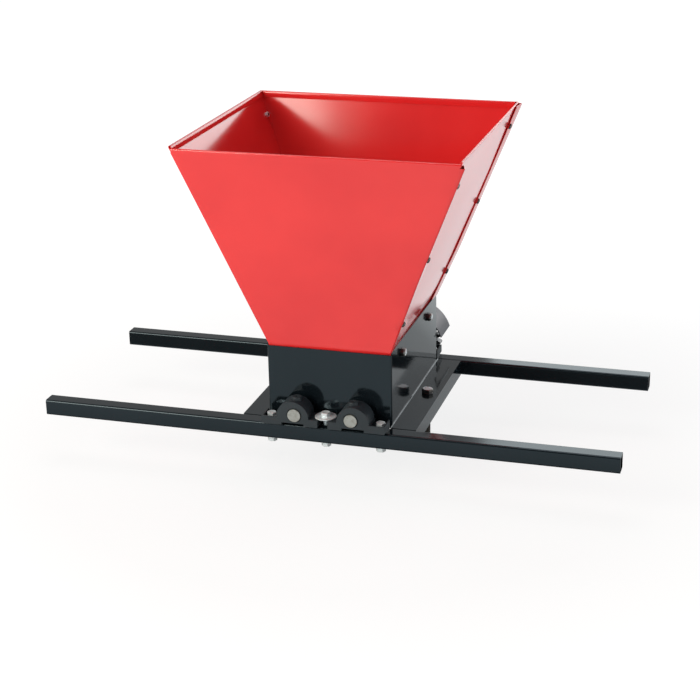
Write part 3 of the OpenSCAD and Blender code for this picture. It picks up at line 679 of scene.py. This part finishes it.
# %% Bolts of the hopper
HOP_X, HOP_Y, FOLD_Z, RIM_Z = 0.0955, 0.1395, 0.141, 0.450
RIM_X, RIM_Y, SKIN = 0.216, 0.200, 0.0012
BOX_X, WALL_BOLT_Y, WALL_BOLT_Z, WALL_BOLT_LEN = 0.097, 0.082, 0.122, 0.0100
LOCK_NUT, LOCK_AF = 0.0064, 0.0122
wall_bolt = bolt(BOLT_AF, BOLT_HEAD, BOLT, BOLT_PITCH, WALL_BOLT_LEN)
wall_nut = lock_nut(LOCK_AF, LOCK_NUT, BOLT_BORE)
nut_ring = stack([
    (0.0054, LOCK_NUT - 0.0006), (0.0054, LOCK_NUT - 0.0001), (0.0051, LOCK_NUT + 0.0002),
    (0.0045, LOCK_NUT + 0.0002), (0.0041, LOCK_NUT - 0.0002), (0.0041, LOCK_NUT - 0.0006)], closed=True)
wall_bolts, wall_nuts, nut_rings = [], [], []
for side in (-1, 1):
    for y in (-WALL_BOLT_Y, WALL_BOLT_Y):
        inside = standing((side * (HOP_X - SKIN), y, WALL_BOLT_Z), (-side, 0, 0))
        outside = standing((side * BOX_X, y, WALL_BOLT_Z), (side, 0, 0))
        wall_bolts += [moved(part, inside) for part in wall_bolt]
        wall_nuts.append(moved(wall_nut, outside))
        nut_rings.append(moved(nut_ring, outside))
make("wall_bolts", wall_bolts, zinc_plate, instead_of=["hopper_bolts"])
make("wall_nuts", wall_nuts, dull_zinc, instead_of=["hopper_bolt_nuts"])
make("nut_rings", nut_rings, ring_nylon)

# %% [markdown]
# ## Small screws
# The hopper's corners are held by small screws with low round heads and a cross slot. The slot could be
# a picture or a bump, but a true hollow keeps its shadow from every side, so one head is cut by a
# boolean and then repeated.

# %% A head with a cross slot
CROWN_STEPS, HEAD_WALL, HEAD_DOME = 8, 0.25, 0.78
SLOT_WIDE, SLOT_LONG, SLOT_TAPER, SLOT_FLOOR = 0.22, 1.0, 0.6, 0.45


def mesh_of(name, part):
    mesh = bpy.data.meshes.new(name)
    mesh.from_pydata(part[0], [], part[1])
    scrap = bpy.data.objects.new(name, mesh)
    bpy.context.scene.collection.objects.link(scrap)
    return scrap


def cross_screw(head_r, head_h, radius, pitch, length):
    crown = [(head_r, 0.0), (head_r, head_h * HEAD_WALL)]
    for step in range(1, CROWN_STEPS + 1):
        swing = step / CROWN_STEPS * math.pi / 2
        narrowed = 1 - HEAD_DOME * (1 - math.cos(swing))
        crown.append((head_r * narrowed, head_h * (HEAD_WALL + (1 - HEAD_WALL) * math.sin(swing))))
    head = mesh_of("head", stack(crown))
    slot_w, slot_l = head_r * SLOT_WIDE, head_r * SLOT_LONG
    skin = [(3, 2, 1, 0), (4, 5, 6, 7)]
    skin += [(i, (i + 1) % 4, (i + 1) % 4 + 4, i + 4) for i in range(4)]
    bars = []
    for across, along in ((slot_w, slot_l), (slot_l, slot_w)):
        corners = [(sx * across / 2, sy * along / 2) for sx, sy in ((-1, -1), (1, -1), (1, 1), (-1, 1))]
        low = [Vector((x * SLOT_TAPER, y * SLOT_TAPER, head_h * SLOT_FLOOR)) for x, y in corners]
        high = [Vector((x, y, head_h * 1.2)) for x, y in corners]
        bars.append(mesh_of("slot", (low + high, skin)))
    for bar in bars:
        cutting = head.modifiers.new("slot", "BOOLEAN")
        cutting.operation, cutting.object, cutting.solver = "DIFFERENCE", bar, "EXACT"
    result = head.evaluated_get(bpy.context.evaluated_depsgraph_get()).to_mesh()
    part = [v.co.copy() for v in result.vertices], [tuple(p.vertices) for p in result.polygons]
    for scrap in (head, *bars):
        bpy.data.objects.remove(scrap)
    return [part, threaded(radius, pitch, -length, 0.0003, 16)]


small_screw = cross_screw(0.0046, 0.0028, 0.0025, 0.0008, 0.0069)
SMALL_NUT = 0.004
small_nut = hex_nut(0.008, SMALL_NUT, 0.0022)
print("screw head faces:", len(small_screw[0][1]))

# %% [markdown]
# ## Laps at the corners
# The front and back panels turn round each corner in a lap, and the screws go through it. Three laps are
# narrow. The one at the rear right is wide and stands off the panel, which it has drawn out a little, and
# the front right corner gapes towards the rim. One function tells what a lap does at a height, so that the
# screws and, later, the sheets agree.

# %% Corner screws and nuts
HOPPER_RISE = RIM_Z - FOLD_Z
SIDE_SLOPE = (RIM_X - HOP_X) / HOPPER_RISE
END_SLOPE = (RIM_Y - HOP_Y) / HOPPER_RISE
SIDE_TILT, END_TILT = math.atan(SIDE_SLOPE), math.atan(END_SLOPE)
LAP, SCREW_SHARES = 0.020, (0.15, 0.50, 0.88)
WIDE_LAP, REAR_SCREW, REAR_RAISE, RAISED_FROM = 0.028, 0.022, 0.005, 0.3
BELLY, BELLY_FADE, BELLY_FOOT = 0.0030, 0.10, 0.08
REAR_FLARE, REAR_FLARE_MORE = 0.0018, 0.0030
REAR_STAND, REAR_STAND_MORE = 0.0002, 0.0012
CORNER_OPEN, OPEN_FROM, OPEN_OVER = 0.0049, 0.12, 0.18


def clamp(share):
    return min(max(share, 0.0), 1.0)


def belly(rise):
    """How far the right panel's rear edge is drawn out by the wide lap."""
    return BELLY * clamp((HOPPER_RISE - rise) / BELLY_FADE) * clamp(rise / BELLY_FOOT)


def lap_shape(right, rear, rise):
    """A lap's width, how far its fold and free edge stand off, and how far the panel is drawn out."""
    if right and rear:
        near_rim = 1 - clamp((HOPPER_RISE - rise) / BELLY_FADE)
        flare = REAR_FLARE + REAR_FLARE_MORE * near_rim
        stand = REAR_STAND + REAR_STAND_MORE * near_rim
        return WIDE_LAP, flare, stand, belly(rise)
    if right:
        return LAP, CORNER_OPEN * clamp((rise - OPEN_FROM) / OPEN_OVER), 0.0, 0.0
    return LAP, 0.0, 0.0, 0.0


corner_screws, corner_nuts = [], []
for sx in (-1, 1):
    out = Vector((sx * math.cos(SIDE_TILT), 0, -math.sin(SIDE_TILT)))
    for sy in (-1, 1):
        for share in SCREW_SHARES:
            rise = share * HOPPER_RISE
            inset = LAP / 2
            if sx > 0 and sy > 0:
                rise += REAR_RAISE * (share > RAISED_FROM)
                inset = REAR_SCREW
            wide, flare, stand, drawn = lap_shape(sx > 0, sy > 0, rise)
            y = HOP_Y + rise * END_SLOPE - inset / math.cos(END_TILT)
            spot = Vector((sx * (HOP_X + rise * SIDE_SLOPE), sy * y, FOLD_Z + rise)) + out * drawn
            seat = spot + out * (SKIN + stand + (flare - stand) * (1 - inset / wide))
            corner_screws += [moved(part, standing(seat, out)) for part in small_screw]
            corner_nuts.append(moved(small_nut, standing(spot - out * (SKIN + SMALL_NUT), out)))
make("corner_screws", corner_screws, dark_steel, instead_of=["hopper_corner_screws"])
make("corner_nuts", corner_nuts, zinc_plate, instead_of=["hopper_corner_nuts"])

# %% [markdown]
# ## Screws of the gear hood
# Two more of the same screws hold the hood to the rear wall, with their nuts inside the box.

# %% Guard screws
GUARD_SCREW_X, GUARD_SCREW_Z, GUARD_T, BOX_Y = 0.028, 0.09406, 0.0015, 0.141
BACKWARD = (0, 1, 0)
hood_screws, hood_nuts = [], []
for x in (-GUARD_SCREW_X, GUARD_SCREW_X):
    seat = standing((x, BOX_Y + GUARD_T, GUARD_SCREW_Z), BACKWARD)
    hood_screws += [moved(part, seat) for part in small_screw]
    hood_nuts.append(moved(small_nut, standing((x, HOP_Y - SMALL_NUT, GUARD_SCREW_Z), BACKWARD)))
make("hood_screws", hood_screws, dark_steel, instead_of=["guard_screws"])
make("hood_nuts", hood_nuts, zinc_plate, instead_of=["guard_nuts"])

# %% [markdown]
# ## Folded sheets
# The hopper's panels and the box's walls are bent from thin sheet. A folded sheet is a line in section,
# with a small arc at each bend. So each sheet is drawn as a skin through its middle, and a Solidify
# modifier gives it its thickness on both sides.

# %% Bends
ARC_STEPS, BESIDE = 5, 0.0006


def bend(before, corner, after, radius):
    """Points of a small arc that rounds the corner of a line in section."""
    corner = Vector(corner)
    come, go = (Vector(before) - corner).normalized(), (Vector(after) - corner).normalized()
    half = come.angle(go) / 2
    reach = radius / math.tan(half)
    centre = corner + (come + go).normalized() * (radius / math.sin(half))
    start, end = corner + come * reach - centre, corner + go * reach - centre
    swing = start.angle(end)
    arc = []
    for k in range(ARC_STEPS + 1):
        part = k / ARC_STEPS
        spoke = start * math.sin((1 - part) * swing) + end * math.sin(part * swing)
        arc.append(centre + spoke / math.sin(swing))
    return arc


def rounded(line, radii):
    """A line in section with its inner corners rounded. Points beside each arc keep the flats flat."""
    points = [Vector(line[0])]
    for before, corner, after, radius in zip(line, line[1:], line[2:], radii):
        if not radius:
            points.append(Vector(corner))
            continue
        arc = bend(before, corner, after, radius)
        for end, far in ((arc[0], Vector(before)), (arc[-1], Vector(after))):
            beside = end + (far - end).normalized() * min(BESIDE, (far - end).length / 2)
            arc = [beside, *arc] if end is arc[0] else [*arc, beside]
        points += arc
    return points + [Vector(line[-1])]


def grid(rows):
    """Faces between rows of points."""
    wide = len(rows[0])
    points = [p for row in rows for p in row]
    faces = [(r * wide + i, r * wide + i + 1, (r + 1) * wide + i + 1, (r + 1) * wide + i)
             for r in range(len(rows) - 1) for i in range(wide - 1)]
    return points, faces


def thicken(piece, thickness, smooth=40):
    solid = piece.modifiers.new("sheet", "SOLIDIFY")
    solid.thickness, solid.offset, solid.use_even_offset = thickness, 0.0, True
    thick = piece.evaluated_get(bpy.context.evaluated_depsgraph_get())
    mesh = bpy.data.meshes.new_from_object(thick)
    piece.modifiers.clear()
    piece.data = mesh
    mesh.set_sharp_from_angle(angle=math.radians(smooth))


print("bends ready")

# %% [markdown]
# ## Walls of the box
# Each side wall comes down, bends out into a flange level with the bars, and bends down again into a lip.
# The first bend is round. The second is crisp, as a tight press brake leaves it, so it shows no bright
# line. Small tabs inside join the side walls to the end walls, which wrap round the box's corners and
# have feet that lie on the bars.

# %% Sides of the box
SHEET, BOX_TOP, TUBE, FLANGE_X, FLANGE_Y = 0.0015, 0.1407, 0.025, 0.136, 0.1493
CORNER, FLANGE_BEND, CRISP = 0.003, 0.0022, 0.0
TAB_LOW, TAB_HIGH, TAB_WIDE, EAR_RISE = 0.0265, 0.111, 0.009, 0.0012
mid = SHEET / 2
SIDE_END = BOX_Y - CORNER
wall_x, flange_z, lip_x = HOP_X + mid, TUBE - mid, FLANGE_X - mid
side_line = [(wall_x, BOX_TOP), (wall_x, flange_z), (lip_x, flange_z), (lip_x, 0.0)]
section = rounded(side_line, (FLANGE_BEND, CRISP))
ears = [p for p in section if p.y < TUBE + EAR_RISE]


def drawn_along(line, side, stations):
    """A section, as distance out and height, drawn along the Y axis."""
    return grid([[Vector((side * x, y, z)) for x, z in line] for y in stations])


for side, node in ((-1, "left_wall"), (1, "right_wall")):
    walls = [drawn_along(section, side, (-SIDE_END, -0.07, 0.0, 0.07, SIDE_END))]
    for y in (-1, 1):
        walls.append(drawn_along(ears, side, (y * SIDE_END, y * FLANGE_Y)))
        tab_y = y * (HOP_Y - mid)
        tab = [Vector((side * x, tab_y, z)) for z in (TAB_LOW, TAB_HIGH) for x in (HOP_X - TAB_WIDE, HOP_X)]
        walls.append((tab, [(0, 1, 3, 2)]))
    wall = make(node + "_sheet", walls, black_enamel, instead_of=[node])
    thicken(wall, SHEET)

# %% Ends of the box
FRONT_DROP = 0.0039
FOOT_LIP, FOOT_END, MIDWAY = 0.169, 0.096, 0.08
end_x, end_y = BOX_X - mid, BOX_Y - mid
plan = rounded(
    [(-end_x, SIDE_END), (-end_x, end_y), (end_x, end_y), (end_x, SIDE_END)],
    (CORNER - mid, CORNER - mid))
for side, node in ((-1, "front_wall"), (1, "rear_wall")):
    top = BOX_TOP - (FRONT_DROP if side < 0 else 0.0)
    face = grid([[Vector((x, side * y, z)) for x, y in plan] for z in (TUBE, MIDWAY, top)])
    foot = grid([[Vector((x, side * y, TUBE + mid)) for x in (-FOOT_END, FOOT_END)]
                 for y in (end_y, FOOT_LIP)])
    wall = make(node + "_sheet", [face, foot], black_enamel, instead_of=[node])
    thicken(wall, SHEET)

# %% [markdown]
# ## Panels of the hopper
# A panel stands in the box with a short skirt, folds outwards and climbs to the rim. There the sheet curls
# over in a thin bead and runs back down inside as a hem, which stiffens the edge. Hand-made sheet is never
# quite flat: each panel bows in a little and has a slow ripple, the front one sits a few millimetres
# lower and turns in at its foot, and the right one is pressed in behind the wall. The pale reflections
# inside the hopper take their shape from these small bows. A panel is made row by row, from its section.

# %% Sections of a panel
HEM, SKIRT_LOW, LAP_DROP, FOLD_STEP = 0.0085, 0.112, 0.006, 0.001
CURL, BEND = 0.0015, 0.0016
RISE_STEPS, ACROSS_STEPS, CURL_STEPS = 60, 24, 8
LOW_RISES = [0.0018, 0.0034, 0.0042, 0.008]
AFTER_CREST = 7
HEM_GAP = SKIN * 1.1


def ripple(u, v):
    """The slow wave of thin sheet, a few tenths of a millimetre."""
    return 0.00018 * (math.sin(19 * u + 7 * v + 0.6) + 0.7 * math.sin(11 * u - 23 * v + 2.1))


def panel_section(base, slope, drop=0.0, curl=CURL):
    """Distance out and height of a panel's middle, from its foot over the rim to the hem's edge."""
    lean = math.atan(slope)
    climb = Vector((math.sin(lean), math.cos(lean)))
    inward = Vector((-math.cos(lean), math.sin(lean)))
    base -= drop * slope
    fold, rim = FOLD_Z - drop, RIM_Z - drop
    foot = base - SKIN / 2 / math.cos(lean)
    skirt = base - SKIN / 2
    line = [Vector((skirt, SKIRT_LOW)), Vector((skirt, fold - FOLD_STEP))]
    rises = [(rim - LAP_DROP - fold) * k / RISE_STEPS for k in range(RISE_STEPS + 1)]
    for rise in sorted(rises + LOW_RISES):
        line.append(Vector((foot + rise * slope, fold + rise)))
    top = Vector((foot + (rim - fold) * slope, rim)) - climb * (curl + SKIN / 2)
    line.append(top)
    for k in range(1, CURL_STEPS):
        swing = math.pi * k / CURL_STEPS
        line.append(top + inward * curl * (1 - math.cos(swing)) + climb * curl * math.sin(swing))
    for share in (0.0, 0.5, 1.0):
        line.append(top + inward * (2 * curl + (HEM_GAP - 2 * curl) * share) - climb * HEM * share)
    return line


print("points in a section:", len(panel_section(HOP_X, SIDE_SLOPE)))

# %% Feet of the panels
TURN_IN, BULGE, BULGE_FADE = 0.0038, 0.002, 0.080
PRESS, PRESS_FADE, PRESS_LEAST, BELLY_HALF = 0.0018, 0.030, 0.15, 0.17


def turned_foot(across, rise):
    """The front panel bulges a little above its fold, and turns in below, more to the right."""
    share = clamp((across + HOP_X) / (2 * HOP_X))
    if rise < TURN_IN:
        return BULGE * share * max(rise, 0) / TURN_IN
    return BULGE * share * max(1 - (rise - TURN_IN) / BULGE_FADE, 0) ** 2


def pressed_foot(across, rise):
    """The right panel is drawn in behind the wall's top edge, more towards the rear."""
    share = PRESS_LEAST + (1 - PRESS_LEAST) * clamp((across + HOP_Y) / (2 * HOP_Y))
    drawn = belly(rise) * clamp((across + BELLY_HALF) / (2 * BELLY_HALF))
    return drawn - PRESS * share * clamp(1 - rise / PRESS_FADE)


def flat_foot(across, rise):
    return 0.0


print("front panel's bulge:", turned_foot(HOP_X, TURN_IN))

# %% Rows and laps
END_INSET, SIDE_INSET = 0.005, 0.0012
FREE_LOW, FREE_HIGH = 0.05, 0.03
LIFT, RIM_LIFT = 0.0009, 0.0024


def flat_row(k, section, half_width, hem_inset, bow, foot, drop=0.0):
    """Points across one height of a panel, as distance across, distance out and height."""
    out, height = section[k]
    crest = len(section) - AFTER_CREST
    half = half_width(height) - (hem_inset if k > crest else 0.0)
    fold, rim = FOLD_Z - drop, RIM_Z - drop
    row = []
    for i in range(ACROSS_STEPS + 1):
        side = 2 * i / ACROSS_STEPS - 1
        free = clamp((height - fold) / FREE_LOW) * min((rim - height) / FREE_HIGH, 1) * (1 - side ** 8)
        sag = bow * max(math.sin(math.pi * (height - fold) / (rim - fold)), 0) * (1 - side ** 4)
        push = foot(side * half, height - fold) - sag + ripple(side * half, height) * free
        row.append(Vector((side * half, out + push, height)))
    return row


def lap_points(height, right, rear):
    """A corner fold and its lap at one height. Between the screws the free edge stands off a little."""
    rise = height - FOLD_Z
    wide, flare, stand, drawn = lap_shape(right, rear, rise)
    x = HOP_X + rise * SIDE_SLOPE + SKIN / 2 / math.cos(SIDE_TILT) + drawn
    y = HOP_Y + rise * END_SLOPE - SKIN / 2 / math.cos(END_TILT)
    share = rise / HOPPER_RISE
    below = max(stop for stop in (-0.1, *SCREW_SHARES) if stop <= share)
    over = min(stop for stop in (*SCREW_SHARES, 1.3) if stop > share)
    between = math.sin(math.pi * (share - below) / (over - below))
    lift = 0.0 if right else (LIFT if over < 1 else RIM_LIFT) * between
    line = bend((0.0, y), (x + flare, y), (x + flare, 0.0), BEND)[1:]
    back = y - wide
    for part, lift_share in ((0.75, 0.0), (0.5, 0.0), (0.25, 0.35), (0.0, 1.0)):
        stand_off = lift * lift_share + stand + (flare - stand) * part
        line.append(Vector((x + stand_off, back + (y - BEND - back) * part)))
    return [Vector((p.x, p.y, height)) for p in line]


def side_width(height):
    climbed = max(height - FOLD_Z, -FRONT_DROP)
    return HOP_X + climbed * SIDE_SLOPE + SKIN / 2 / math.cos(SIDE_TILT) - BEND


def end_width(height):
    return HOP_Y + max(height - FOLD_Z, 0) * END_SLOPE - HEM_GAP


print("hopper's width at the rim:", round(2 * side_width(RIM_Z), 3))

# %% Hopper panels
FRONT_BOW, BACK_BOW, LEFT_BOW, RIGHT_BOW = 0.0005, 0.0028, 0.0041, 0.0
TIGHT_CURL = 0.0009
SMOOTH = 50


def end_panel(sign, bow, foot, drop=0.0):
    section = panel_section(HOP_Y, END_SLOPE, drop)
    rows = []
    for k in range(len(section)):
        row = flat_row(k, section, side_width, END_INSET, bow, foot, drop)
        rows.append([Vector((p.x, sign * p.y, p.z)) for p in row])
    laps = []
    for sx in (-1, 1):
        edge = 0 if sx < 0 else ACROSS_STEPS
        last = RISE_STEPS + len(LOW_RISES) + (4 if sx > 0 and sign > 0 else 3)
        lap = []
        for k in range(2, last):
            height = section[k].y
            turn = lap_points(height, sx > 0, sign > 0)
            lap.append([rows[k][edge]] + [Vector((sx * p.x, sign * p.y, height)) for p in turn])
        laps.append(grid(lap))
    return [grid(rows), *laps]


def side_panel(sign, bow, foot, curl=CURL):
    section = panel_section(HOP_X, SIDE_SLOPE, 0.0, curl)
    rows = []
    for k in range(len(section)):
        row = flat_row(k, section, end_width, SIDE_INSET, bow, foot)
        rows.append([Vector((sign * p.y, p.x, p.z)) for p in row])
    return [grid(rows)]


for node, shapes in (
        ("hopper_front_panel", end_panel(-1, FRONT_BOW, turned_foot, FRONT_DROP)),
        ("hopper_back_panel", end_panel(1, BACK_BOW, flat_foot)),
        ("hopper_left_panel", side_panel(-1, LEFT_BOW, flat_foot)),
        ("hopper_right_panel", side_panel(1, RIGHT_BOW, pressed_foot, TIGHT_CURL))):
    panel = make(node + "_sheet", shapes, red_enamel, instead_of=[node], smooth=SMOOTH)
    thicken(panel, SKIN, SMOOTH)

# %% [markdown]
# ## The crank's grip
# The grip is moulded: a long swell for the palm, a bead at each end and shallow rings that keep it from
# slipping. It is turned about its own spindle, so a stack of rings makes it. The nut behind the arm turns
# with the crank.

# %% Grip
GRIP_Y, GRIP_LEN, GRIP_Z, NUT_Y = 0.2225, 0.105, 0.24356, 0.206
GRIP_STEPS, GRIP_END, GRIP_R, SWELL = 60, 0.002, 0.011, 0.004
GROOVE, GROOVES = 0.0006, 14
bead = [(0.00506, 0.0), (0.0085, 0.0), (0.0104, 0.0007), (GRIP_R, GRIP_END)]
profile = list(bead)
for step in range(1, GRIP_STEPS):
    s = step / GRIP_STEPS
    swell = GRIP_R + SWELL * math.sin(math.pi * s)
    groove = GROOVE * max(math.cos(TURN * s * GROOVES), 0) ** 6 * (0.12 < s < 0.88)
    profile.append((swell - groove, GRIP_END + s * (GRIP_LEN - 2 * GRIP_END)))
profile += [(radius, GRIP_LEN - height) for radius, height in reversed(bead)]
handle = moved(stack(profile, closed=True), standing((-SHAFT_X, GRIP_Y, GRIP_Z), BACKWARD))
make("moulded_grip", [handle], grip_plastic, body="hand_grip", instead_of=["crank_grip"])
lock = moved(hex_nut(0.016, 0.008, 0.0045), standing((-SHAFT_X, NUT_Y, GRIP_Z), BACKWARD))
make("grip_nut", [lock], zinc_plate, body="drive_rotor", instead_of=["spindle_nut"])
